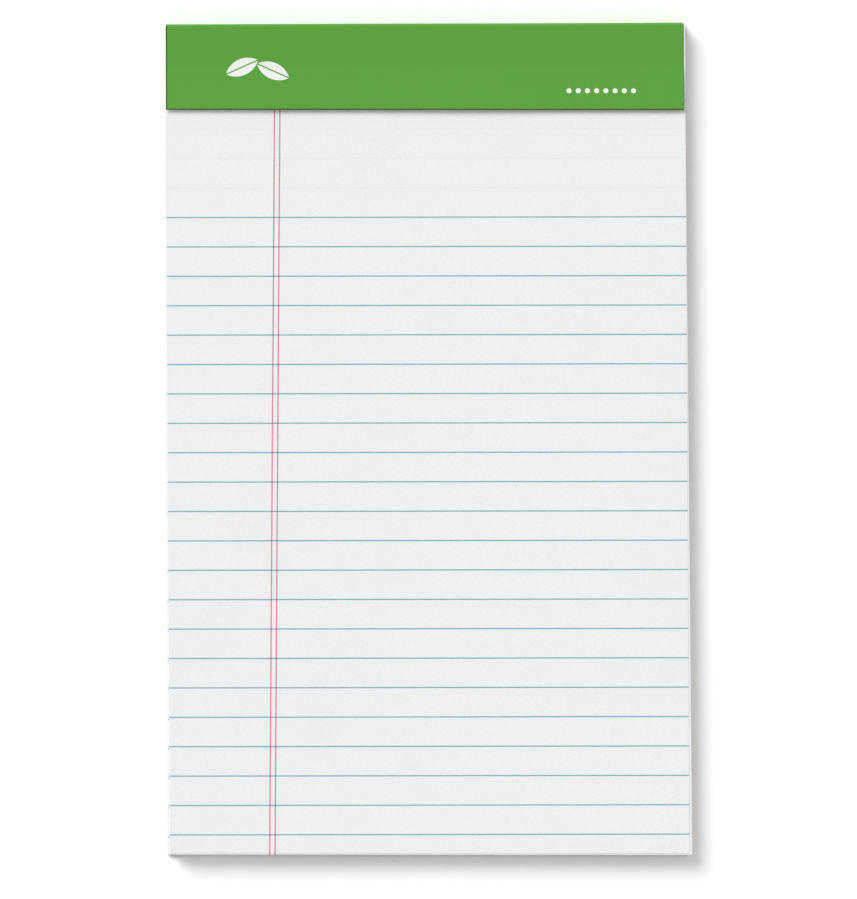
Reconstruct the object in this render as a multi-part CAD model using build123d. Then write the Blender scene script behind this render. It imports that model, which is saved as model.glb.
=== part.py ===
from build123d import *
import os
from math import atan2, cos, degrees, floor, radians, sin, tan

# A perforated writing pad, 5 x 8 in. Fifty ruled sheets lie on a grey board, two wire
# staples hold them at the head, and a paper band folded over the head covers the staples.
# The pad lies on its back. +Y points to the bound head, +X to the reader's right, and
# z = 0 is the lowest face, the band's flap under the board. The origin is below the
# middle of the board. All sizes are in millimetres.

# The board and the sheets
pad_width = 127.0
pad_length = 203.2
board_thickness = 0.8
sheet_count = 50
sheet_thickness = 0.1
foot_skew = 0.45            # the foot is trimmed out of square: the right corner reaches further

# How the loose sheets lie at the foot, at the middle of the fan and on top
fan_height = 3.0            # height above the board where the sheets stand out furthest
fan_shift = 1.4             # shift to the right there
fan_short = 0.7             # distance short of the foot there
top_shift = 0.5
top_short = 1.3

# The perforation, a row of slits through every sheet
perforation_from_head = 19.05
slit_pitch = 1.27
slit_length = 0.9
slit_width = 0.15

# The band
band_thickness = 0.15
band_reveal_left = 0.10     # sheet left bare beside the band
band_reveal_right = 0.34
front_depth_left = 20.7     # from the outside of the head to the band's front edge
front_depth_right = 21.15
back_depth = 18.0           # the same for the flap under the board
front_fold_radius = 0.6     # the sheets' rounded edge inside the front fold
back_fold_radius = 0.3      # the board's rounded edge inside the back fold
glue_margin = 1.5           # the glue stops this far short of the perforation
lip_angle = 14.0            # the free strip past the glue curls up
lip_radius = 5.0

# The staples
staple_spacing = 64.0
staple_from_head = 9.5
wire_diameter = 0.5
crown_width = 12.7
bend_radius = 0.5           # of the wire's centre line
clinch_length = 5.0         # from the leg's centre line to the wire's end
wire_sink = 0.05            # the wire lies this far below the surface it is pressed into
wire_clearance = 0.02

# Places that follow from the sizes
head_y = pad_length / 2
foot_y = -pad_length / 2
half_width = pad_width / 2
board_bottom = band_thickness
board_top = board_bottom + board_thickness
block_height = sheet_count * sheet_thickness
block_top = board_top + block_height
band_left = -half_width + band_reveal_left
band_right = half_width - band_reveal_right
spine_y = head_y + band_thickness
wire_radius = wire_diameter / 2
staple_y = head_y - staple_from_head
leg_x = (crown_width - wire_diameter) / 2
crown_z = block_top - wire_sink - wire_radius
clinch_z = board_bottom + wire_sink + wire_radius


def sheet_outline(height, shift, short):
    """A sheet's outline: square at the head, moved sideways and short at the foot."""
    return Plane.XY.offset(height) * make_face(
        Polyline(
            (-half_width, head_y),
            (half_width, head_y),
            (half_width + shift, foot_y + short - foot_skew),
            (-half_width + shift, foot_y + short),
            close=True,
        )
    )


def staple_wire(radius, clinch):
    """Wire of a given radius along a closed staple's centre line, about x = 0."""
    path = FilletPolyline(
        (-leg_x + clinch, staple_y, clinch_z),
        (-leg_x, staple_y, clinch_z),
        (-leg_x, staple_y, crown_z),
        (leg_x, staple_y, crown_z),
        (leg_x, staple_y, clinch_z),
        (leg_x - clinch, staple_y, clinch_z),
        radius=bend_radius,
    )
    return sweep((path ^ 0) * Circle(radius), path=path)


def staple_pocket():
    """The room a pressed-in staple takes, open above its crown and below its ends."""
    half_slot = wire_radius + wire_clearance
    reach = clinch_length + wire_clearance
    depth = wire_diameter + wire_sink
    crown_slot = Box(
        2 * (leg_x + half_slot), 2 * half_slot, depth,
        align=(Align.CENTER, Align.CENTER, Align.MIN),
    )
    end_slot = Box(
        reach + half_slot, 2 * half_slot, depth,
        align=(Align.MIN, Align.CENTER, Align.MAX),
    )
    left_end = Pos(-leg_x - half_slot, staple_y, clinch_z) * end_slot
    right_end = Pos(leg_x - reach, staple_y, clinch_z) * end_slot
    wire_room = staple_wire(half_slot, reach)
    return wire_room + Pos(0, staple_y, crown_z) * crown_slot + left_end + right_end


def edge_at(shape, y, z):
    """The edge along X nearest to a place in the Y-Z plane."""
    return shape.edges().filter_by(Axis.X).sort_by_distance((0, y, z))[0]


# Both staples, and the pockets they are pressed into
staple_places = {"left": Pos(-staple_spacing / 2, 0, 0), "right": Pos(staple_spacing / 2, 0, 0)}
wire = staple_wire(wire_radius, clinch_length)
staples = {side: place * wire for side, place in staple_places.items()}
pocket = staple_pocket()
pockets = [place * pocket for place in staple_places.values()]

# The board, flush with the lowest sheet
backing_board = extrude(sheet_outline(board_bottom, 0, 0), board_thickness)
backing_board = fillet(edge_at(backing_board, head_y, board_bottom), back_fold_radius)
backing_board -= pockets

# The sheets as one block, whose sides slope with the fan
sheet_block = loft(
    [
        sheet_outline(board_top, 0, 0),
        sheet_outline(board_top + fan_height, fan_shift, fan_short),
        sheet_outline(block_top, top_shift, top_short),
    ],
    ruled=True,
)
sheet_block = fillet(edge_at(sheet_block, head_y, block_top), front_fold_radius)
sheet_block -= pockets
slit_count = floor((pad_width - slit_pitch) / slit_pitch)
slit = Box(slit_length, slit_width, block_height, align=(Align.CENTER, Align.CENTER, Align.MIN))
slit_row = Pos(0, head_y - perforation_from_head, board_top)
sheet_block -= [slit_row * place * slit for place in GridLocations(slit_pitch, 0, slit_count, 1)]

# The band's section: a lip that curls up, the front flap, the spine and the back flap.
# Its outer line runs one thickness outside the inner one. The lip is drawn a little too
# long, and then cut along the band's front edge.
lip_start = head_y - perforation_from_head + glue_margin
lip_end = spine_y - max(front_depth_left, front_depth_right) - band_thickness
lip_slope = radians(lip_angle)
lip_rise = (lip_start - lip_end) * tan(lip_slope)
inner_line = FilletPolyline(
    (0, lip_end, block_top + lip_rise),
    (0, lip_start, block_top),
    (0, head_y, block_top),
    (0, head_y, board_bottom),
    (0, spine_y - back_depth, board_bottom),
    radius=[lip_radius, front_fold_radius, back_fold_radius],
)
outer_line = FilletPolyline(
    (
        0,
        lip_end + band_thickness * sin(lip_slope),
        block_top + lip_rise + band_thickness * cos(lip_slope),
    ),
    (0, lip_start + band_thickness * tan(lip_slope / 2), block_top + band_thickness),
    (0, spine_y, block_top + band_thickness),
    (0, spine_y, board_bottom - band_thickness),
    (0, spine_y - back_depth, board_bottom - band_thickness),
    radius=[
        lip_radius - band_thickness,
        front_fold_radius + band_thickness,
        back_fold_radius + band_thickness,
    ],
)
front_end = Line(inner_line @ 0, outer_line @ 0)
back_end = Line(inner_line @ 1, outer_line @ 1)
band_section = make_face([inner_line, outer_line, front_end, back_end])
band_width = band_right - band_left
header_band = Pos(band_left, 0, 0) * extrude(band_section, band_width, dir=(1, 0, 0))

# The front edge is cut slightly askew, deeper on the right
skew = degrees(atan2(front_depth_left - front_depth_right, band_width))
front_edge = Pos(band_left, spine_y - front_depth_left, block_top) * Rot(0, 0, skew)
header_band -= front_edge * Box(
    4 * pad_width, pad_width, pad_width,
    align=(Align.CENTER, Align.MAX, Align.MIN),
)

parts = {
    "backing_board": backing_board,
    "sheet_block": sheet_block,
    "header_band": header_band,
    "staple_left": staples["left"],
    "staple_right": staples["right"],
}
os.makedirs("parts", exist_ok=True)
for name, shape in parts.items():
    export_step(shape, f"parts/{name}.step")
    print(f"{name}: {len(shape.solids())} solid, {shape.volume:.2f} mm3")
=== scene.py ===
# Looks of the writing pad: fifty ruled sheets, a folded green band, a grey board and two
# hidden staples, on a pale floor under one broad soft light. Sizes in the dictionaries are
# millimetres and degrees; meshes are made in metres.
import math

import bmesh
import bpy
import numpy as np
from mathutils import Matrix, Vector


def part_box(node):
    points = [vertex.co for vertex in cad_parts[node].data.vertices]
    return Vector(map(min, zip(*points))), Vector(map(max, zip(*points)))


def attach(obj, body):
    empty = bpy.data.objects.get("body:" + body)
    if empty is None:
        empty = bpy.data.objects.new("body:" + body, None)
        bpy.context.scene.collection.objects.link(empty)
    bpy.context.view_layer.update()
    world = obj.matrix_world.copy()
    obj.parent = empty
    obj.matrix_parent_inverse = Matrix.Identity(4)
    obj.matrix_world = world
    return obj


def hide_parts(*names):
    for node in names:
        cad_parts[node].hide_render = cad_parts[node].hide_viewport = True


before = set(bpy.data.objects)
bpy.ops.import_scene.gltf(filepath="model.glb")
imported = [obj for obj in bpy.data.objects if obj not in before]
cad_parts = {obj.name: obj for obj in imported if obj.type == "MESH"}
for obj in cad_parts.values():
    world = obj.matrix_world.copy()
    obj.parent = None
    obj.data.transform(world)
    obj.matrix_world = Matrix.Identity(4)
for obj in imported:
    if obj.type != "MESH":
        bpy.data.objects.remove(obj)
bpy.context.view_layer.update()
millimetre = 0.001


# Lowest and highest corner of one CAD node, in millimetres.
def nodeBox(name):
    low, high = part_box(name)
    return np.array(low) / millimetre, np.array(high) / millimetre


boardLow, boardHigh = nodeBox("backing_board")
blockLow, blockHigh = nodeBox("sheet_block")
bandLow, bandHigh = nodeBox("header_band")
headY = boardHigh[1]
halfWidth = boardHigh[0]
blockTop = blockHigh[2]


# Quads between neighbouring rows and columns of a grid of points. In a closed grid the
# last column joins the first.
def gridQuads(rows, columns, closed=False):
    across = columns if closed else columns - 1
    row, column = np.meshgrid(np.arange(rows - 1), np.arange(across), indexing="ij")
    following = (column + 1) % columns
    here, above = row * columns, (row + 1) * columns
    corners = [here + column, here + following, above + following, above + column]
    return np.stack(corners, axis=-1).reshape(-1, 4)


# Eases from 0 to 1 between two values: the cubic 3t^2 - 2t^3 of the clipped share.
def ease(start, end, value):
    share = np.clip((value - start) / (end - start), 0, 1)
    return share * share * (3 - 2 * share)


# Gentle unevenness: a sum of sines of a place. Each wave has its share, its lengths across
# and along over 2 pi, and its phase; a length of infinity leaves that direction out.
def unevenness(x, y, waves):
    return sum(
        share * np.sin(x / across + y / along + phase) for share, across, along, phase in waves
    )


# Makes a piece of the pad from points in millimetres. Places holds, for each point, the
# coordinates that its print follows. They are kept at the corners of the faces, where a
# later cut through the piece carries them on.
def makePiece(name, points, faces, places, material):
    mesh = bpy.data.meshes.new(name)
    mesh.from_pydata((points * millimetre).tolist(), [], faces)
    corners = np.empty(len(mesh.loops), np.int32)
    mesh.loops.foreach_get("vertex_index", corners)
    attribute = mesh.attributes.new("printPlace", "FLOAT_VECTOR", "CORNER")
    attribute.data.foreach_set("vector", places[corners].astype(np.float32).ravel())
    mesh.materials.append(material)
    mesh.update()
    piece = bpy.data.objects.new(name, mesh)
    bpy.context.scene.collection.objects.link(piece)
    print(f"{name}: {len(mesh.vertices)} points, {len(mesh.polygons)} faces")
    return piece


# Adds a node, sets its properties, and wires or sets the inputs given by name.
def addNode(tree, kind, properties=None, **inputs):
    made = tree.nodes.new(kind)
    for key, value in (properties or {}).items():
        setattr(made, key, value)
    for key, value in inputs.items():
        plug(tree, made.inputs[key.replace("_", " ")], value)
    return made


# Wires an output into a socket, or sets the socket to a plain value.
def plug(tree, socket, value):
    if isinstance(value, bpy.types.NodeSocket):
        tree.links.new(value, socket)
    else:
        socket.default_value = value


# One step of arithmetic on numbers or outputs.
def calc(tree, operation, *values):
    made = tree.nodes.new("ShaderNodeMath")
    made.operation = operation
    for socket, value in zip(made.inputs, values):
        plug(tree, socket, value)
    return made.outputs[0]


# Mixes two colours by a mask.
def mixColour(tree, mask, first, second, blend="MIX"):
    made = tree.nodes.new("ShaderNodeMix")
    made.data_type = "RGBA"
    made.blend_type = blend
    plug(tree, made.inputs[0], mask)
    plug(tree, made.inputs[6], first)
    plug(tree, made.inputs[7], second)
    return made.outputs[2]


# An empty node group with the given sockets, and what runs in and out of it.
def newGroup(name, inputs, outputs):
    group = bpy.data.node_groups.new(name, "ShaderNodeTree")
    for label, kind, value in inputs:
        socket = group.interface.new_socket(label, in_out="INPUT", socket_type=kind)
        if value is not None:
            socket.default_value = value
    for label, kind in outputs:
        group.interface.new_socket(label, in_out="OUTPUT", socket_type=kind)
    entry = group.nodes.new("NodeGroupInput")
    leave = group.nodes.new("NodeGroupOutput")
    return group, entry.outputs, leave.inputs


# A mask that is 1 where a distance is under a limit and fades out over a soft edge.
def buildInkEdge():
    group, given, result = newGroup(
        "inkEdge",
        [
            ("Distance", "NodeSocketFloat", 0.0),
            ("Limit", "NodeSocketFloat", 0.15),
            ("Softness", "NodeSocketFloat", 0.05),
        ],
        [("Mask", "NodeSocketFloat")],
    )
    nearEdge = calc(group, "SUBTRACT", given["Limit"], given["Softness"])
    farEdge = calc(group, "ADD", given["Limit"], given["Softness"])
    fade = addNode(
        group, "ShaderNodeMapRange", {"interpolation_type": "SMOOTHSTEP"},
        Value=given["Distance"], From_Min=nearEdge, From_Max=farEdge, To_Min=1.0, To_Max=0.0,
    )
    group.links.new(fade.outputs["Result"], result["Mask"])
    return group


fibreNoise = {
    "detail": 3.0,
    "roughness": 0.62,
    "distortion": 0.6,
    "cloudDetail": 2.0,
    "cloudRoughness": 0.5,
    "bendScale": 1.3,           # of the noise that bends the pattern of flecks
    "bendDetail": 1.0,
    "bendReach": 1.6,
    "fleckCore": 0.45,          # share of a fleck's size that has its full strength
}


# The look of pressed fibres: a shade near 1 that varies finely and in soft clouds, a
# height for bump, and scattered flecks of other fibres. Vector is in millimetres.
def buildFibres():
    group, given, result = newGroup(
        "fibres",
        [
            ("Vector", "NodeSocketVector", None),
            ("Fibre Size", "NodeSocketFloat", 0.4),
            ("Grain", "NodeSocketFloat", 0.02),
            ("Cloud Size", "NodeSocketFloat", 9.0),
            ("Cloud", "NodeSocketFloat", 0.01),
            ("Fleck Spacing", "NodeSocketFloat", 3.0),
            ("Fleck Share", "NodeSocketFloat", 0.1),
            ("Fleck Size", "NodeSocketFloat", 0.11),
        ],
        [("Shade", "NodeSocketFloat"), ("Height", "NodeSocketFloat"), ("Flecks", "NodeSocketFloat")],
    )
    fine = addNode(
        group, "ShaderNodeTexNoise", {"noise_dimensions": "3D"},
        Vector=given["Vector"], Scale=calc(group, "DIVIDE", 1.0, given["Fibre Size"]),
        Detail=fibreNoise["detail"], Roughness=fibreNoise["roughness"],
        Distortion=fibreNoise["distortion"],
    )
    cloud = addNode(
        group, "ShaderNodeTexNoise", {"noise_dimensions": "3D"},
        Vector=given["Vector"], Scale=calc(group, "DIVIDE", 1.0, given["Cloud Size"]),
        Detail=fibreNoise["cloudDetail"], Roughness=fibreNoise["cloudRoughness"],
    )
    grainPart = calc(
        group, "MULTIPLY", calc(group, "SUBTRACT", fine.outputs["Fac"], 0.5), given["Grain"]
    )
    cloudPart = calc(
        group, "MULTIPLY", calc(group, "SUBTRACT", cloud.outputs["Fac"], 0.5), given["Cloud"]
    )
    shade = calc(group, "ADD", calc(group, "ADD", grainPart, cloudPart), 1.0)

    # A fleck is the middle of a cell of a bent cell pattern, kept in a share of the cells.
    # Its size is a share of the spacing between cells.
    bend = addNode(
        group, "ShaderNodeTexNoise", {"noise_dimensions": "3D"},
        Vector=given["Vector"], Scale=fibreNoise["bendScale"], Detail=fibreNoise["bendDetail"],
    )
    bentVector = addNode(group, "ShaderNodeVectorMath", {"operation": "MULTIPLY_ADD"})
    group.links.new(bend.outputs["Color"], bentVector.inputs[0])
    bentVector.inputs[1].default_value = (fibreNoise["bendReach"],) * 3
    group.links.new(given["Vector"], bentVector.inputs[2])
    cells = addNode(
        group, "ShaderNodeTexVoronoi", {"voronoi_dimensions": "3D", "feature": "F1"},
        Vector=bentVector.outputs[0],
        Scale=calc(group, "DIVIDE", 1.0, given["Fleck Spacing"]),
    )
    chance = addNode(group, "ShaderNodeSeparateColor", Color=cells.outputs["Color"])
    chosen = calc(group, "LESS_THAN", chance.outputs[0], given["Fleck Share"])
    middle = addNode(
        group, "ShaderNodeMapRange", {"interpolation_type": "SMOOTHSTEP"},
        Value=cells.outputs["Distance"],
        From_Min=calc(group, "MULTIPLY", given["Fleck Size"], fibreNoise["fleckCore"]),
        From_Max=given["Fleck Size"],
        To_Min=1.0, To_Max=0.0,
    )
    flecks = calc(group, "MULTIPLY", chosen, middle.outputs["Result"])
    group.links.new(shade, result["Shade"])
    group.links.new(fine.outputs["Fac"], result["Height"])
    group.links.new(flecks, result["Flecks"])
    return group


inkEdge = buildInkEdge()
fibres = buildFibres()


# The ink edge as one step: 1 where the distance is under the limit.
def edgeMask(tree, distance, limit, softness):
    made = addNode(
        tree, "ShaderNodeGroup", {"node_tree": inkEdge},
        Distance=distance, Limit=limit, Softness=softness,
    )
    return made.outputs["Mask"]


# A new material with its shader, its object position in millimetres, and its fibres.
def startMaterial(name, fibreLook):
    material = bpy.data.materials.new(name)
    material.use_nodes = True
    tree = material.node_tree
    shader = tree.nodes["Principled BSDF"]
    place = addNode(tree, "ShaderNodeTexCoord")
    scaled = addNode(tree, "ShaderNodeVectorMath", {"operation": "SCALE"})
    tree.links.new(place.outputs["Object"], scaled.inputs[0])
    scaled.inputs["Scale"].default_value = 1 / millimetre
    look = addNode(tree, "ShaderNodeGroup", {"node_tree": fibres}, Vector=scaled.outputs[0])
    for label, value in fibreLook.items():
        look.inputs[label].default_value = value
    return material, tree, shader, scaled.outputs[0], look.outputs


# Dims or brightens a colour by an output that holds a number near 1.
def shadeColour(tree, colour, shade):
    made = addNode(tree, "ShaderNodeVectorMath", {"operation": "SCALE"})
    plug(tree, made.inputs[0], colour)
    plug(tree, made.inputs["Scale"], shade)
    return made.outputs[0]


# Wires a colour to the shader and sets its plain values. The fibres' height, which runs
# from 0 to 1, tilts its normals; the bump's depth is in millimetres.
def finishPaper(tree, shader, colour, height, surface):
    tree.links.new(colour, shader.inputs["Base Color"])
    shader.inputs["Roughness"].default_value = surface["roughness"]
    shader.inputs["Specular IOR Level"].default_value = surface["specular"]
    bump = addNode(
        tree, "ShaderNodeBump", None,
        Strength=surface["bump"], Distance=surface["bumpDepth"] * millimetre, Height=height,
    )
    tree.links.new(bump.outputs["Normal"], shader.inputs["Normal"])


# A mask that is 1 on faces that look mostly up or down and 0 on upright ones: the upward
# part of their normal, either way, against a half.
def flatMask(tree):
    facing = addNode(tree, "ShaderNodeNewGeometry")
    upward = addNode(tree, "ShaderNodeSeparateXYZ", Vector=facing.outputs["Normal"])
    return calc(tree, "GREATER_THAN", calc(tree, "ABSOLUTE", upward.outputs[2]), 0.5)


ruling = {
    "ruleCount": 22,
    "firstRule": 54.214,        # where the top rule lies on a sheet, from the pad's middle
    "rulePitch": 7.215,
    "ruleSlope": -0.0013,       # the rules fall a little to the right
    "ruleWidth": 0.28,
    "ruleInk": (0.14, 0.45, 0.63, 1.0),
    "marginMiddle": -37.235,    # where the double line crosses the pad's middle
    "marginLean": 0.01188,
    "marginSpacing": 1.31,
    "marginWidth": 0.34,
    "marginInk": (0.76, 0.32, 0.40, 1.0),
    "softness": 0.05,
    "showThrough": 0.055,       # strength of the far side's rules, seen in the blank head
    "showThroughCount": 3,
    "sideInk": 0.45,            # strength of the print on the sheets' cut edges
    "inkMiddle": 0.98,          # the ink's usual strength on top of a sheet
    "inkUneven": 0.24,          # how much it varies over a sheet
    "inkPatches": 0.9,          # and how many times in a millimetre
    "inkPatchDetail": 2.0,
    "paper": (0.81, 0.81, 0.81, 1.0),
    # cut edges drawn darker than the faces: partly the greyer look of paper edges, partly painted
    # shade between the sheets
    "edgeGreyAndShade": (0.79, 0.785, 0.77),
    "toneMiddle": 0.98,         # the usual tone of the cut edges
    "toneSpread": 0.16,         # and its spread from sheet to sheet
    "fleck": (0.40, 0.38, 0.34, 1.0),
    "fleckStrength": 0.16,
    "perforationFromHead": 19.05,
    "slitPitch": 1.27,
    "slitLength": 0.9,
    "slitWidth": 0.15,
    "slitStrength": 0.6,
    "slitShade": (0.1, 0.1, 0.1, 1.0),
    "slitSoftness": (0.03, 0.02),         # at its ends and along its sides
    "surface": {"roughness": 0.88, "specular": 0.3, "bump": 0.35, "bumpDepth": 0.03},
    "fibres": {
        "Fibre Size": 0.35, "Grain": 0.22, "Cloud Size": 14.0, "Cloud": 0.020,
        "Fleck Spacing": 4.5, "Fleck Share": 0.05, "Fleck Size": 0.10,
    },
}


# Ruled paper. The print follows printPlace: a point's place across the top sheet, its place
# along its own sheet, and the sheet's number. A rule is where the distance down from the
# first one, counted in pitches, is near a whole number; the margin is two lines either side
# of a leaning middle line.
def pagePaper():
    material, tree, shader, place, look = startMaterial("ruledPaper", ruling["fibres"])
    printed = addNode(tree, "ShaderNodeAttribute", {"attribute_name": "printPlace"})
    parts = addNode(tree, "ShaderNodeSeparateXYZ", Vector=printed.outputs["Vector"])
    across, along, sheet = parts.outputs[0], parts.outputs[1], parts.outputs[2]

    # Rules: level is the place along the sheet with the slope taken out. They end where
    # the top sheet does, so the sheets that stand out beyond it are blank there.
    level = calc(tree, "SUBTRACT", along, calc(tree, "MULTIPLY", across, ruling["ruleSlope"]))
    count = calc(
        tree, "DIVIDE", calc(tree, "SUBTRACT", ruling["firstRule"], level), ruling["rulePitch"]
    )
    nearest = calc(tree, "ROUND", count)
    off = calc(
        tree, "MULTIPLY",
        calc(tree, "ABSOLUTE", calc(tree, "SUBTRACT", count, nearest)), ruling["rulePitch"],
    )
    line = edgeMask(tree, off, ruling["ruleWidth"] / 2, ruling["softness"])
    onSheet = calc(
        tree, "MULTIPLY",
        calc(tree, "GREATER_THAN", nearest, -0.5),
        calc(tree, "LESS_THAN", nearest, ruling["ruleCount"] - 0.5),
    )
    behind = calc(
        tree, "MULTIPLY",
        calc(tree, "GREATER_THAN", nearest, -ruling["showThroughCount"] - 0.5),
        calc(tree, "LESS_THAN", nearest, -0.5),
    )
    strength = calc(tree, "MULTIPLY_ADD", behind, ruling["showThrough"], onSheet)
    ruleMask = calc(
        tree, "MULTIPLY", calc(tree, "MULTIPLY", line, strength),
        calc(tree, "LESS_THAN", across, halfWidth),
    )

    # Margin: the distance from either of the two lines
    middle = calc(tree, "MULTIPLY_ADD", along, ruling["marginLean"], ruling["marginMiddle"])
    fromMiddle = calc(tree, "ABSOLUTE", calc(tree, "SUBTRACT", across, middle))
    fromLine = calc(
        tree, "ABSOLUTE", calc(tree, "SUBTRACT", fromMiddle, ruling["marginSpacing"] / 2)
    )
    marginMask = edgeMask(tree, fromLine, ruling["marginWidth"] / 2, ruling["softness"])

    # Ink is weaker on the cut edges, and takes a little unevenly everywhere
    flat = flatMask(tree)
    inkShare = calc(tree, "MULTIPLY_ADD", flat, 1 - ruling["sideInk"], ruling["sideInk"])
    patches = addNode(
        tree, "ShaderNodeTexNoise", None,
        Vector=place, Scale=ruling["inkPatches"], Detail=ruling["inkPatchDetail"],
    )
    inkTake = calc(
        tree, "MULTIPLY_ADD", patches.outputs["Fac"], ruling["inkUneven"],
        ruling["inkMiddle"] - ruling["inkUneven"] / 2,
    )
    inkShare = calc(tree, "MULTIPLY", inkShare, inkTake)

    # Bare paper: fibres, a few specks, and a small change of tone from sheet to sheet. The cut edges
    # are drawn darker than the faces, partly as painted shade between the sheets.
    toneOf = addNode(
        tree, "ShaderNodeTexWhiteNoise", {"noise_dimensions": "1D"},
        W=calc(tree, "ROUND", sheet),
    )
    sheetTone = calc(
        tree, "MULTIPLY_ADD", toneOf.outputs["Value"], ruling["toneSpread"],
        ruling["toneMiddle"] - ruling["toneSpread"] / 2,
    )
    edgeTone = shadeColour(tree, ruling["edgeGreyAndShade"], sheetTone)
    bare = mixColour(tree, flat, edgeTone, ruling["paper"])
    bare = shadeColour(tree, bare, look["Shade"])
    fleckMask = calc(tree, "MULTIPLY", look["Flecks"], ruling["fleckStrength"])
    bare = mixColour(tree, fleckMask, bare, ruling["fleck"])

    inked = mixColour(
        tree, calc(tree, "MULTIPLY", ruleMask, inkShare), bare, ruling["ruleInk"], "MULTIPLY"
    )
    inked = mixColour(
        tree, calc(tree, "MULTIPLY", marginMask, inkShare), inked, ruling["marginInk"], "MULTIPLY"
    )

    # The perforation: a row of short slits beneath the band's lip, drawn as dark marks of painted
    # shade in the cuts
    slitTurn = calc(tree, "DIVIDE", across, ruling["slitPitch"])
    slitOff = calc(
        tree, "MULTIPLY",
        calc(tree, "ABSOLUTE", calc(tree, "SUBTRACT", slitTurn, calc(tree, "ROUND", slitTurn))),
        ruling["slitPitch"],
    )
    rowY = headY - ruling["perforationFromHead"]
    rowOff = calc(tree, "ABSOLUTE", calc(tree, "SUBTRACT", along, rowY))
    endSoftness, sideSoftness = ruling["slitSoftness"]
    slitMask = calc(
        tree, "MULTIPLY",
        edgeMask(tree, slitOff, ruling["slitLength"] / 2, endSoftness),
        edgeMask(tree, rowOff, ruling["slitWidth"] / 2, sideSoftness),
    )
    slitMask = calc(tree, "MULTIPLY", slitMask, flat)
    slitMask = calc(tree, "MULTIPLY", slitMask, ruling["slitStrength"])
    inked = mixColour(tree, slitMask, inked, ruling["slitShade"])
    finishPaper(tree, shader, inked, look["Height"], ruling["surface"])
    return material


bandLook = {
    "green": (0.0885, 0.325, 0.0337),
    "core": (0.74, 0.77, 0.70, 1.0),      # the unprinted inside
    "bareShare": 0.02,                    # of the cut edges, next to the inside
    "white": (0.80, 0.82, 0.79, 1.0),
    "paintedShadeTone": 0.25,                     # painted shade: tone drawn along the front edge and left end
    "paintedShadeWidth": 0.30,
    "rightPaintedShadeWidth": 0.20,
    "rightPaintedShadeShare": 0.3,                # strength of the same painted shade along the right end
    "edgeSoftness": 0.08,
    "paleFibre": (0.30, 0.50, 0.20, 1.0),
    "fibreStrength": 0.10,
    "leafPlaces": ((18.6, 10.5, 24.0), (26.2, 9.6, 156.0)),   # from left, from front, turned
    "leafHalfLength": 4.3,
    "leafHalfWidth": 2.0,
    "leafSoftness": 0.06,
    "ribHalfWidth": 0.16,
    "ribSoftness": 0.05,
    "dotCount": 8,
    "firstDot": 98.5,
    "dotPitch": 2.25,
    "dotFromFront": 4.75,
    "dotRadius": 0.62,
    "dotSoftness": 0.05,
    "surface": {"roughness": 0.62, "specular": 0.25, "bump": 0.25, "bumpDepth": 0.03},
    "fibres": {
        "Fibre Size": 0.3, "Grain": 0.05, "Cloud Size": 6.0, "Cloud": 0.02,
        "Fleck Spacing": 2.2, "Fleck Share": 0.10, "Fleck Size": 0.10,
    },
}


# A leaf is where two equal circles overlap: the distance from the farther circle's centre
# is under the radius. A thin rib is left out along its middle.
def leafMask(tree, across, along, place):
    leafX, leafY, turn = place
    length, width = bandLook["leafHalfLength"], bandLook["leafHalfWidth"]
    radius = (length**2 + width**2) / (2 * width)
    cosine, sine = math.cos(math.radians(turn)), math.sin(math.radians(turn))
    offX = calc(tree, "SUBTRACT", across, leafX)
    offY = calc(tree, "SUBTRACT", along, leafY)
    lengthwise = calc(tree, "MULTIPLY_ADD", offX, cosine, calc(tree, "MULTIPLY", offY, sine))
    sideways = calc(tree, "MULTIPLY_ADD", offX, -sine, calc(tree, "MULTIPLY", offY, cosine))
    sideways = calc(tree, "ABSOLUTE", sideways)
    fromCentre = calc(
        tree, "SQRT",
        calc(
            tree, "ADD",
            calc(tree, "POWER", lengthwise, 2.0),
            calc(tree, "POWER", calc(tree, "ADD", sideways, radius - width), 2.0),
        ),
    )
    body = edgeMask(tree, fromCentre, radius, bandLook["leafSoftness"])
    rib = edgeMask(tree, sideways, bandLook["ribHalfWidth"], bandLook["ribSoftness"])
    return calc(tree, "MULTIPLY", body, calc(tree, "SUBTRACT", 1.0, rib))


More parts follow.
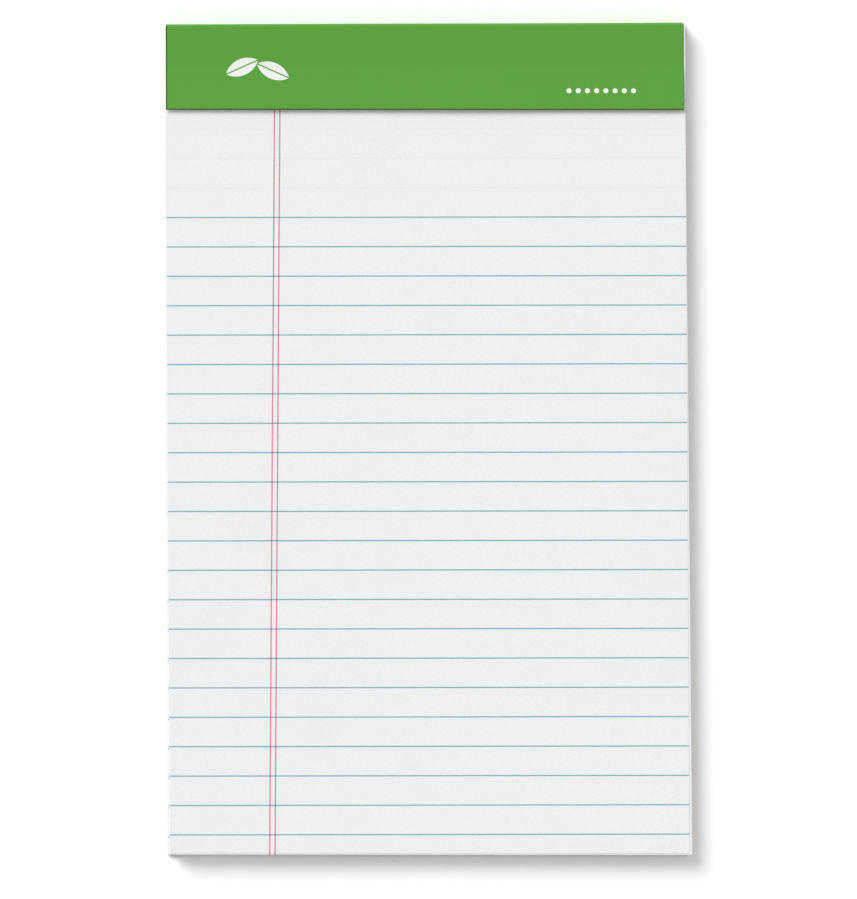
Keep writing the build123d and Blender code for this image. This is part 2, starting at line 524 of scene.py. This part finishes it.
# Printed band paper. Its print follows printPlace: the distance from the left end, the
# distance from the front edge round the folds, and 1 on the printed side.
def bandPaper():
    material, tree, shader, _, look = startMaterial("greenBand", bandLook["fibres"])
    printed = addNode(tree, "ShaderNodeAttribute", {"attribute_name": "printPlace"})
    parts = addNode(tree, "ShaderNodeSeparateXYZ", Vector=printed.outputs["Vector"])
    across, along = parts.outputs[0], parts.outputs[1]
    outside = calc(tree, "GREATER_THAN", parts.outputs[2], bandLook["bareShare"])

    marks = calc(
        tree, "MAXIMUM",
        *[leafMask(tree, across, along, leaf) for leaf in bandLook["leafPlaces"]],
    )
    fromFirst = calc(tree, "SUBTRACT", across, bandLook["firstDot"])
    turn = calc(tree, "DIVIDE", fromFirst, bandLook["dotPitch"])
    nearest = calc(
        tree, "MINIMUM", calc(tree, "MAXIMUM", calc(tree, "ROUND", turn), 0.0),
        bandLook["dotCount"] - 1.0,
    )
    dotX = calc(tree, "MULTIPLY", calc(tree, "SUBTRACT", turn, nearest), bandLook["dotPitch"])
    dotY = calc(tree, "SUBTRACT", along, bandLook["dotFromFront"])
    fromDot = calc(
        tree, "SQRT",
        calc(tree, "ADD", calc(tree, "POWER", dotX, 2.0), calc(tree, "POWER", dotY, 2.0)),
    )
    dots = edgeMask(tree, fromDot, bandLook["dotRadius"], bandLook["dotSoftness"])
    marks = calc(tree, "MAXIMUM", marks, dots)

    green = shadeColour(tree, bandLook["green"], look["Shade"])
    fibreMask = calc(tree, "MULTIPLY", look["Flecks"], bandLook["fibreStrength"])
    green = mixColour(tree, fibreMask, green, bandLook["paleFibre"])
    cover = mixColour(tree, marks, green, bandLook["white"])
    # Painted shade: the band is drawn darker along its front edge and left end, and a little along
    # its right end, for the shade at its edges.
    fromRight = calc(tree, "SUBTRACT", bandHigh[0] - bandLow[0], across)
    softness = bandLook["edgeSoftness"]
    paintedShadeMask = calc(
        tree, "MAXIMUM",
        edgeMask(tree, across, bandLook["paintedShadeWidth"], softness),
        edgeMask(tree, along, bandLook["paintedShadeWidth"], softness),
    )
    rightPaintedShade = edgeMask(tree, fromRight, bandLook["rightPaintedShadeWidth"], softness)
    rightPaintedShade = calc(tree, "MULTIPLY", rightPaintedShade, bandLook["rightPaintedShadeShare"])
    paintedShadeMask = calc(tree, "MAXIMUM", paintedShadeMask, rightPaintedShade)
    paintedShadeFactor = calc(tree, "MULTIPLY_ADD", paintedShadeMask, bandLook["paintedShadeTone"] - 1, 1.0)
    cover = shadeColour(tree, cover, paintedShadeFactor)
    colour = mixColour(tree, outside, bandLook["core"], cover)
    finishPaper(tree, shader, colour, look["Height"], bandLook["surface"])
    return material


boardLook = {
    "grey": (0.300, 0.262, 0.212, 1.0),
    "cutEdge": (0.235, 0.205, 0.165),
    "paleFleck": (0.55, 0.52, 0.46, 1.0),
    "darkFleck": (0.10, 0.09, 0.08, 1.0),
    "fleckStrength": 0.7,
    "darkFlecks": {"Fleck Spacing": 1.3, "Fleck Share": 0.22, "Fleck Size": 0.20},
    "darkFleckShift": (37.0, 11.0, 5.0),  # away from the pattern of the pale flecks
    "plySpacing": 0.2,
    "plyStrength": 0.10,
    "surface": {"roughness": 0.92, "specular": 0.25, "bump": 0.6, "bumpDepth": 0.06},
    "fibres": {
        "Fibre Size": 0.5, "Grain": 0.50, "Cloud Size": 7.0, "Cloud": 0.22,
        "Fleck Spacing": 1.9, "Fleck Share": 0.30, "Fleck Size": 0.19,
    },
}


# Grey chipboard: coarse fibres with pale and dark flecks, and plies along its cut edges.
def chipboard():
    material, tree, shader, place, look = startMaterial("greyChipboard", boardLook["fibres"])
    shifted = addNode(tree, "ShaderNodeVectorMath", {"operation": "ADD"})
    tree.links.new(place, shifted.inputs[0])
    shifted.inputs[1].default_value = boardLook["darkFleckShift"]
    second = addNode(tree, "ShaderNodeGroup", {"node_tree": fibres}, Vector=shifted.outputs[0])
    for label, value in boardLook["darkFlecks"].items():
        second.inputs[label].default_value = value
    flat = flatMask(tree)
    height = addNode(tree, "ShaderNodeSeparateXYZ", Vector=place)
    plyTurn = calc(tree, "MULTIPLY", height.outputs[2], 2 * math.pi / boardLook["plySpacing"])
    ply = calc(tree, "MULTIPLY_ADD", calc(tree, "SINE", plyTurn), boardLook["plyStrength"], 1.0)
    edgeColour = shadeColour(tree, boardLook["cutEdge"], ply)
    colour = mixColour(tree, flat, edgeColour, boardLook["grey"])
    colour = shadeColour(tree, colour, look["Shade"])
    pale = calc(tree, "MULTIPLY", look["Flecks"], boardLook["fleckStrength"])
    dark = calc(tree, "MULTIPLY", second.outputs["Flecks"], boardLook["fleckStrength"])
    colour = mixColour(tree, pale, colour, boardLook["paleFleck"])
    colour = mixColour(tree, dark, colour, boardLook["darkFleck"])
    finishPaper(tree, shader, colour, look["Height"], boardLook["surface"])
    return material


stapleLook = {
    "steel": (0.62, 0.61, 0.59),
    "polish": 0.2,                        # roughness at its least
    "scratches": 0.2,                     # roughness added by the scratches
    "fibres": {"Fibre Size": 0.12, "Grain": 0.12, "Cloud Size": 2.0, "Cloud": 0.08},
}


# Bright drawn wire: steel with fine scratches that change its roughness.
def stapleSteel():
    material, tree, shader, _, look = startMaterial("stapleSteel", stapleLook["fibres"])
    colour = shadeColour(tree, stapleLook["steel"], look["Shade"])
    roughness = calc(
        tree, "MULTIPLY_ADD", look["Height"], stapleLook["scratches"], stapleLook["polish"]
    )
    tree.links.new(colour, shader.inputs["Base Color"])
    tree.links.new(roughness, shader.inputs["Roughness"])
    shader.inputs["Metallic"].default_value = 1.0
    return material


pages = {
    "sheetCount": 50,
    "cornerRadius": 0.45,
    "cornerPoints": 6,
    "pointSpacing": 4.0,
    "footSkew": 0.45,
    # How far sheets of these numbers are moved to the right at the foot, and how far they
    # stop short of it. From one to the next the amount changes evenly.
    "shiftAt": (0, 12, 24, 34, 48, 49),
    "shift": (0.0, 0.7, 1.15, 1.22, 1.22, 0.5),
    "shortAt": (0, 8, 47, 48, 49),
    "short": (0.0, 0.36, 0.40, 0.42, 0.85),
    "scatter": 0.03,            # of single sheets at the foot
    "trimScatter": 0.012,       # of single sheets all round
    "creaseDepth": 0.03,        # of the groove between two sheets
    "creaseHalf": 0.014,
    "headRadius": 0.6,
    "wireRoom": 0.02,           # left round the staples' wires
    "mergeDistance": 0.001,     # points nearer than this become one after the cut
    "looseShare": 0.90,         # of the height, above which the sheets lie loosely
    "wave": 0.07,               # how much the top sheet rises and falls
    "waves": ((0.25, 17.0, 41.0, 0.6), (0.25, -53.0, 29.0, 2.0)),
    "waveStart": 22.0,          # from the head, where the waves begin
    "waveFull": 60.0,           # and where they have their whole height
    "cornerLift": 0.15,         # of the top sheets' right foot corner
    "cornerReach": 38.0,
    "cornerStretch": 0.8,       # under 1, the lift reaches further along than across
    "ringScales": (0.985, 0.95, 0.9, 0.83, 0.74, 0.63, 0.51, 0.39, 0.27, 0.15),
    "seed": 7,
}


# A sheet's outline, once round against the clock as seen from above: four quarter circles
# joined by straight runs of evenly spaced points. Returns places and outward directions.
def sheetOutline(footY):
    radius = pages["cornerRadius"]
    right, top, bottom = halfWidth - radius, headY - radius, footY + radius
    corners = [(right, top, 0), (-right, top, 90), (-right, bottom, 180), (right, bottom, 270)]
    places, outwards = [], []
    for (x, y, start), (nextX, nextY, _) in zip(corners, corners[1:] + corners[:1]):
        angles = np.radians(start + np.linspace(0, 90, pages["cornerPoints"]))
        outward = np.stack([np.cos(angles), np.sin(angles)], axis=1)
        arc = np.array([x, y]) + radius * outward
        runEnd = np.array([nextX, nextY]) + radius * outward[-1]
        steps = math.ceil(np.linalg.norm(runEnd - arc[-1]) / pages["pointSpacing"])
        shares = np.linspace(0, 1, steps + 1)[1:-1, None]
        places += [arc, arc[-1] + (runEnd - arc[-1]) * shares]
        outwards += [outward, np.repeat(outward[-1:], steps - 1, axis=0)]
    return np.concatenate(places), np.concatenate(outwards)


# The block of sheets. Rows of points run round the outline: rings from the middle of the
# lowest sheet out to its edge, three rows up the edge of every sheet, and rings back in to
# the middle of the top sheet. A point's place on its own sheet is then moved by the fan,
# which grows from nothing at the head to its full amount at the foot.
def buildPages():
    rng = np.random.default_rng(pages["seed"])
    count = pages["sheetCount"]
    thickness = (blockTop - blockLow[2]) / count
    footY = blockLow[1] + pages["footSkew"]
    length = headY - footY
    outline, outward = sheetOutline(footY)

    # Each row: ring scale, inset, height above the board, sheet number
    rings = list(pages["ringScales"])
    crease, half = pages["creaseDepth"], pages["creaseHalf"]
    rows = [(scale, 0.0, 0.0, 0.0) for scale in reversed(rings)]
    for sheet in range(count):
        low, high = sheet * thickness, (sheet + 1) * thickness
        rows.append((1.0, crease, low, sheet))
        rows.append((1.0, 0.0, low + half, sheet))
        rows.append((1.0, 0.0, high - half, sheet))
    rows.append((1.0, crease, count * thickness, count - 1))
    rows += [(scale, 0.0, count * thickness, count - 1) for scale in rings]
    scale, inset, height, sheet = np.array(rows).T[:, :, None]

    # Places on the sheet itself, with the foot trimmed askew
    middle = np.array([0.0, (headY + footY) / 2])
    trim = rng.normal(0, pages["trimScatter"], count)[sheet.astype(int)]
    ring = middle + (outline - middle) * scale[..., None]
    ring = ring + outward * (trim - inset)[..., None] * (scale[..., None] == 1)
    x, y = ring[..., 0], ring[..., 1]
    down = np.clip((headY - y) / length, 0, 1)
    y = y - pages["footSkew"] * (x + halfWidth) / (2 * halfWidth) * down
    # The head is rounded off above, inside the band's fold
    fromTop = np.clip(pages["headRadius"] - (blockTop - blockLow[2] - height), 0, None)
    rounding = pages["headRadius"] - np.sqrt(pages["headRadius"] ** 2 - fromTop**2)
    y = np.minimum(y, headY - rounding)

    # The fan: each sheet's own shift and shortfall, by its number
    shift = np.interp(sheet, pages["shiftAt"], pages["shift"])
    short = np.interp(sheet, pages["shortAt"], pages["short"])
    jitter = rng.normal(0, pages["scatter"], (2, count))
    jitter[:, -1] = 0
    whole = sheet.astype(int)
    worldX = x + (shift + jitter[0][whole]) * down
    worldY = y + (short + jitter[1][whole]) * down

    # Height: gentle waves on the top sheet and a slightly lifted foot corner
    onTop = ease(pages["looseShare"], 1.0, height / (count * thickness))
    clearOfBand = ease(pages["waveStart"], pages["waveFull"], headY - y)
    waves = 0.5 + unevenness(x, y, pages["waves"])
    fromCorner = np.hypot(x - halfWidth, (y - footY) * pages["cornerStretch"])
    corner = ease(pages["cornerReach"], 0.0, fromCorner)
    lift = pages["wave"] * waves * clearOfBand + pages["cornerLift"] * corner**2
    worldZ = blockLow[2] + height + lift * onTop

    points = np.stack([worldX, worldY, worldZ], axis=-1)
    printX = worldX - pages["shift"][-1] * down      # the prints line up across the sheets
    places = np.stack([printX, y, np.broadcast_to(sheet, x.shape)], axis=-1)
    rowCount, columns = x.shape
    poles = np.array([[0, middle[1], points[0, 0, 2]], points[-1].mean(axis=0)])
    polePlaces = np.array([[0, middle[1], 0], places[-1].mean(axis=0)])
    quads = gridQuads(rowCount, columns, closed=True)
    column = np.arange(columns)
    following = (column + 1) % columns
    last = (rowCount - 1) * columns
    lowPole = rowCount * columns
    fans = np.concatenate(
        [
            np.stack([np.full(columns, lowPole), following, column], axis=1),
            np.stack([np.full(columns, lowPole + 1), last + column, last + following], axis=1),
        ]
    )
    return makePiece(
        "ruledSheets",
        np.concatenate([points.reshape(-1, 3), poles]),
        quads.tolist() + fans.tolist(),
        np.concatenate([places.reshape(-1, 3), polePlaces]),
        pagePaper(),
    )


# Cuts the staples' wires out of the sheets: each staple's points are moved outwards by a
# little room, its shape is taken away from the block, and slivers at the cut are removed.
def pierceSheets(sheets):
    mergeDistance = pages["mergeDistance"] * millimetre
    for nodeName in ("staple_left", "staple_right"):
        shape = bmesh.new()
        shape.from_mesh(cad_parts[nodeName].data)
        bmesh.ops.remove_doubles(shape, verts=shape.verts, dist=mergeDistance)
        wire = bpy.data.meshes.new("wireShape")
        shape.to_mesh(wire)
        shape.free()
        places, directions = np.empty((2, len(wire.vertices), 3), np.float32)
        wire.vertices.foreach_get("co", places.ravel())
        wire.vertices.foreach_get("normal", directions.ravel())
        places += directions * pages["wireRoom"] * millimetre
        wire.vertices.foreach_set("co", places.ravel())
        cutter = bpy.data.objects.new("wireShape", wire)
        bpy.context.scene.collection.objects.link(cutter)
        cut = sheets.modifiers.new("pierced", "BOOLEAN")
        cut.operation, cut.solver, cut.object = "DIFFERENCE", "EXACT", cutter
        view = bpy.context.evaluated_depsgraph_get()
        mesh = bpy.data.meshes.new_from_object(
            sheets.evaluated_get(view), preserve_all_data_layers=True, depsgraph=view
        )
        sheets.modifiers.clear()
        sheets.data = mesh
        bpy.data.objects.remove(cutter)
        shape = bmesh.new()
        shape.from_mesh(mesh)
        bmesh.ops.remove_doubles(shape, verts=shape.verts, dist=mergeDistance)
        bmesh.ops.dissolve_degenerate(shape, edges=shape.edges, dist=mergeDistance)
        manySided = [face for face in shape.faces if len(face.verts) > 4]
        bmesh.ops.triangulate(shape, faces=manySided)
        shape.to_mesh(mesh)
        shape.free()
    print(f"{sheets.name}: pierced by the staples, {len(mesh.polygons)} faces")


band = {
    "thickness": 0.15,
    "frontDepthLeft": 20.95,
    "frontSlant": 0.45,         # how much deeper the front flap is at the right
    "backDepth": 18.0,
    "frontFoldRadius": 0.6,
    "backFoldRadius": 0.3,
    "lipWidth": 11.0,           # the free strip along the front edge, at the left
    "lipRise": 0.98,
    "lipCurve": 1.15,           # 1 is straight, more curls up towards the edge
    "lipWaves": ((0.10, 19.0, math.inf, 1.0), (0.06, 7.3, math.inf, 0.0)),
    "lipPoints": 14,            # on each stretch of the section
    "flapPoints": 26,
    "foldPoints": 9,
    "spinePoints": 10,
    "backPoints": 30,
    "columns": 240,
    "endColumns": (0.06, 0.12, 0.18, 0.26, 0.36),
    "endPull": 0.3,             # how far the fold's ends draw in round the sheets' corners
    "endPullWidth": 0.12,
    "endPullStart": 0.6,        # from the head, where the drawing in begins
    "bulge": 0.05,              # how far the uneven fold stands off the sheets
    "bulgeStart": 2.5,
    "foldWaves": ((0.3, 14.0, math.inf, 2.6), (0.2, 37.0, math.inf, -0.5)),
    "ripple": 0.02,
    "rippleWaves": ((1.0, 6.1, 3.7, 0.0), (1.0, 11.0, -5.2, 0.0)),   # multiplied together
    "rippleStart": 0.7,         # from the head, where the ripples begin
    "rippleFull": 3.0,
    "stapleSpacing": 64.0,
    "stapleFromHead": 9.5,
    "stapleHalfWidth": 6.1,
    "clinchLength": 5.0,
    "wireMark": 0.04,           # how far the clinched ends stand out through the paper
    "crownMark": 0.012,         # and the staples' crowns, on the front
    "wireMarkWidth": 0.55,
}


# How far a point lies from the wire of either staple, seen from above: the crown spans
# the whole width, and each clinched end reaches inwards by the clinch length.
def wireDistance(x, y, clinched):
    fromStaple = np.abs(np.abs(x) - band["stapleSpacing"] / 2)
    outer = band["stapleHalfWidth"]
    inner = outer - band["clinchLength"] if clinched else 0.0
    beyond = np.maximum(fromStaple - outer, inner - fromStaple)
    sideways = np.abs(y - (headY - band["stapleFromHead"]))
    return np.hypot(np.maximum(beyond, 0), sideways)


# The band is a strip whose section is carried from right to left. The section's middle
# line is the lip, the front flap, a quarter circle, the spine, a smaller quarter circle
# and the back flap; its two faces lie half a thickness to either side.
def buildBand():
    half = band["thickness"] / 2
    spineY, boardBottom = bandHigh[1], boardLow[2]
    frontRadius, backRadius = band["frontFoldRadius"], band["backFoldRadius"]
    lipStart = spineY - band["frontDepthLeft"] + band["lipWidth"]
    quarter = np.linspace(np.pi / 2, 0, band["foldPoints"])
    lipShare = np.linspace(1, 0, band["lipPoints"])[:-1]      # 1 at the free edge
    flatY = np.linspace(lipStart, headY - frontRadius, band["flapPoints"])[:-1]
    frontArc = np.stack(
        [
            headY - frontRadius + (frontRadius + half) * np.cos(quarter),
            blockTop - frontRadius + (frontRadius + half) * np.sin(quarter),
        ],
        axis=1,
    )
    backArc = np.stack(
        [
            headY - backRadius + (backRadius + half) * np.sin(quarter),
            boardBottom + backRadius - (backRadius + half) * np.cos(quarter),
        ],
        axis=1,
    )
    spineZ = np.linspace(frontArc[-1, 1], backArc[0, 1], band["spinePoints"])[1:-1]
    spine = np.stack([np.full(len(spineZ), headY + half), spineZ], axis=1)
    backY = np.linspace(headY - backRadius, spineY - band["backDepth"], band["backPoints"])[1:]
    back = np.stack([backY, np.full(len(backY), boardBottom - half)], axis=1)
    flat = np.stack([flatY, np.full(len(flatY), blockTop + half)], axis=1)
    lip = np.stack([lipStart + 0 * lipShare, np.full(len(lipShare), blockTop + half)], axis=1)
    section = np.concatenate([lip, flat, frontArc, spine, backArc, back])
    free = np.concatenate([lipShare, np.zeros(len(section) - len(lipShare))])

    ends = np.array(band["endColumns"])
    x = np.linspace(bandHigh[0], bandLow[0], band["columns"])
    x = np.sort(np.concatenate([x, bandHigh[0] - ends, bandLow[0] + ends]))[::-1, None]
    shareRight = (x - bandLow[0]) / (bandHigh[0] - bandLow[0])
    frontDepth = band["frontDepthLeft"] + band["frontSlant"] * shareRight
    lipWidth = lipStart - (spineY - frontDepth)
    lipHeight = band["lipRise"] * (1 + unevenness(x, 0, band["lipWaves"]))
    y = section[:, 0] - lipWidth * free
    z = section[:, 1] + lipHeight * free ** band["lipCurve"]

    # Uneven fold, slight ripples on the flaps and the wire showing through
    alongHead = 0.5 + unevenness(x, 0, band["foldWaves"])
    fromEnd = np.minimum(bandHigh[0] - x, x - bandLow[0])
    endPull = band["endPull"] * np.exp(-((fromEnd / band["endPullWidth"]) ** 2))
    endPull = endPull * ease(headY - band["endPullStart"], headY, y)
    endPull = endPull * ease(blockLow[2], blockLow[2] + 1, z)      # above the board alone
    y = y + band["bulge"] * alongHead * ease(headY - band["bulgeStart"], headY, y) - endPull
    onTop = (z > blockTop) & (free == 0)
    under = z < boardBottom
    ripples = np.prod([unevenness(x, y, [wave]) for wave in band["rippleWaves"]], axis=0)
    settled = ease(headY - band["rippleStart"], headY - band["rippleFull"], y)
    z = z + np.where(onTop, band["ripple"] * (0.5 + 0.5 * ripples) * settled, 0)
    crown = np.exp(-((wireDistance(x, y, False) / band["wireMarkWidth"]) ** 2))
    clinch = np.exp(-((wireDistance(x, y, True) / band["wireMarkWidth"]) ** 2))
    z = z + np.where(onTop, band["crownMark"] * crown, 0)
    z = z - np.where(under, band["wireMark"] * clinch, 0)

    # Two faces, half a thickness to either side of the middle line
    stepY, stepZ = np.gradient(y, axis=1), np.gradient(z, axis=1)
    size = np.hypot(stepY, stepZ)
    normalY, normalZ = -stepZ / size, stepY / size
    allX = np.broadcast_to(x, y.shape)
    outer = np.stack([allX, y + half * normalY, z + half * normalZ], axis=-1)
    inner = np.stack([allX, y - half * normalY, z - half * normalZ], axis=-1)
    loop = np.concatenate([outer, inner[:, ::-1]], axis=1)
    walked = np.cumsum(np.hypot(np.diff(y), np.diff(z)), axis=1)
    walked = np.concatenate([np.zeros((len(x), 1)), walked], axis=1)
    fromFront = np.concatenate([walked, walked[:, ::-1]], axis=1)
    side = np.concatenate([np.ones_like(walked), np.zeros_like(walked)], axis=1)
    fromLeft = np.broadcast_to(x - bandLow[0], fromFront.shape)
    places = np.stack([fromLeft, fromFront, side], axis=-1)

    rowCount, columns = fromFront.shape
    strip = np.arange(walked.shape[1] - 1)
    opposite = columns - 1 - strip
    last = (rowCount - 1) * columns
    rightEnd = np.stack([strip, opposite, opposite - 1, strip + 1], axis=1)
    leftEnd = last + np.stack([strip, strip + 1, opposite - 1, opposite], axis=1)
    faces = gridQuads(rowCount, columns, closed=True).tolist() + rightEnd.tolist() + leftEnd.tolist()
    return makePiece(
        "greenHeaderBand", loop.reshape(-1, 3), faces, places.reshape(-1, 3), bandPaper()
    )


ruledSheets = buildPages()
pierceSheets(ruledSheets)
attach(ruledSheets, "root")
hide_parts("sheet_block")

headerBand = buildBand()
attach(headerBand, "root")
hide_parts("header_band")

for nodeName, material in (
    ("backing_board", chipboard()),
    ("staple_left", stapleSteel()),
    ("staple_right", stapleSteel()),
):
    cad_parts[nodeName].data.materials.clear()
    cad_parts[nodeName].data.materials.append(material)
print("board and staples: finished")


stage = {
    "floorSize": 12.0,                    # metres
    "floorDrop": 0.05,                    # below the pad
    "floorColour": (0.94, 0.94, 0.94, 1.0),
    "floorGlow": 0.068,                   # the pale table gives off a little light
    "skyStrength": 0.53,
    "sunShare": 0.53,                     # brightness the sun alone gives white paper
    "sunSpread": 34.6,
    "sunAcross": 32.2,                    # the sun's lean to the left, from overhead
    "sunAlong": 38.5,                     # and its lean towards the head
    "cameraDistance": 2000.0,
    "pictureWidth": 209.45,               # width of the view at the top sheet
    "pictureMiddle": (0.505, -2.37),
    "cameraRoll": -0.17,
    "sensorWidth": 36.0,
    "clipping": (0.01, 20.0),             # metres
}


# A wide flat table just under the pad, kept out of the finished part.
def buildFloor():
    reach, drop = stage["floorSize"] / 2, stage["floorDrop"] * millimetre
    mesh = bpy.data.meshes.new("paleFloor")
    corners = [(-reach, -reach), (reach, -reach), (reach, reach), (-reach, reach)]
    mesh.from_pydata([(x, y, -drop) for x, y in corners], [], [(0, 1, 2, 3)])
    floor = bpy.data.objects.new("paleFloor", mesh)
    bpy.context.scene.collection.objects.link(floor)
    material = bpy.data.materials.new("paleFloor")
    material.use_nodes = True
    shader = material.node_tree.nodes["Principled BSDF"]
    shader.inputs["Base Color"].default_value = stage["floorColour"]
    shader.inputs["Roughness"].default_value = 1.0
    shader.inputs["Specular IOR Level"].default_value = 0.0
    shader.inputs["Emission Color"].default_value = (1.0, 1.0, 1.0, 1.0)
    shader.inputs["Emission Strength"].default_value = stage["floorGlow"]
    mesh.materials.append(material)


# One broad sun and an even pale sky. The two leans give the slope of the sun's rays each
# way; together they make its tilt and its bearing.
def buildLight():
    slopeX = math.tan(math.radians(stage["sunAcross"]))
    slopeY = math.tan(math.radians(stage["sunAlong"]))
    lean = math.atan(math.hypot(slopeX, slopeY))
    bearing = math.pi + math.atan2(slopeX, slopeY)
    lamp = bpy.data.lights.new("softbox", "SUN")
    lamp.angle = math.radians(stage["sunSpread"])
    lamp.energy = math.pi * stage["sunShare"] / math.cos(lean)
    sun = bpy.data.objects.new("softbox", lamp)
    sun.rotation_euler = (lean, 0, bearing)
    bpy.context.scene.collection.objects.link(sun)
    world = bpy.data.worlds.new("paleRoom")
    world.use_nodes = True
    background = world.node_tree.nodes["Background"]
    background.inputs["Color"].default_value = (1.0, 1.0, 1.0, 1.0)
    background.inputs["Strength"].default_value = stage["skyStrength"]
    bpy.context.scene.world = world


# A long lens straight overhead: its focal length makes the view as wide as asked for at
# the top sheet.
def buildCamera():
    lens = bpy.data.cameras.new("overhead")
    lens.sensor_fit = "HORIZONTAL"
    lens.sensor_width = stage["sensorWidth"]
    lens.lens = stage["sensorWidth"] * stage["cameraDistance"] / stage["pictureWidth"]
    lens.clip_start, lens.clip_end = stage["clipping"]
    camera = bpy.data.objects.new("overhead", lens)
    x, y = stage["pictureMiddle"]
    camera.location = np.array([x, y, blockTop + stage["cameraDistance"]]) * millimetre
    camera.rotation_euler = (0, 0, math.radians(stage["cameraRoll"]))
    bpy.context.scene.collection.objects.link(camera)
    bpy.context.scene.camera = camera


buildFloor()
buildLight()
buildCamera()
bpy.context.scene.view_settings.view_transform = "Standard"
print("floor, light and camera: set")
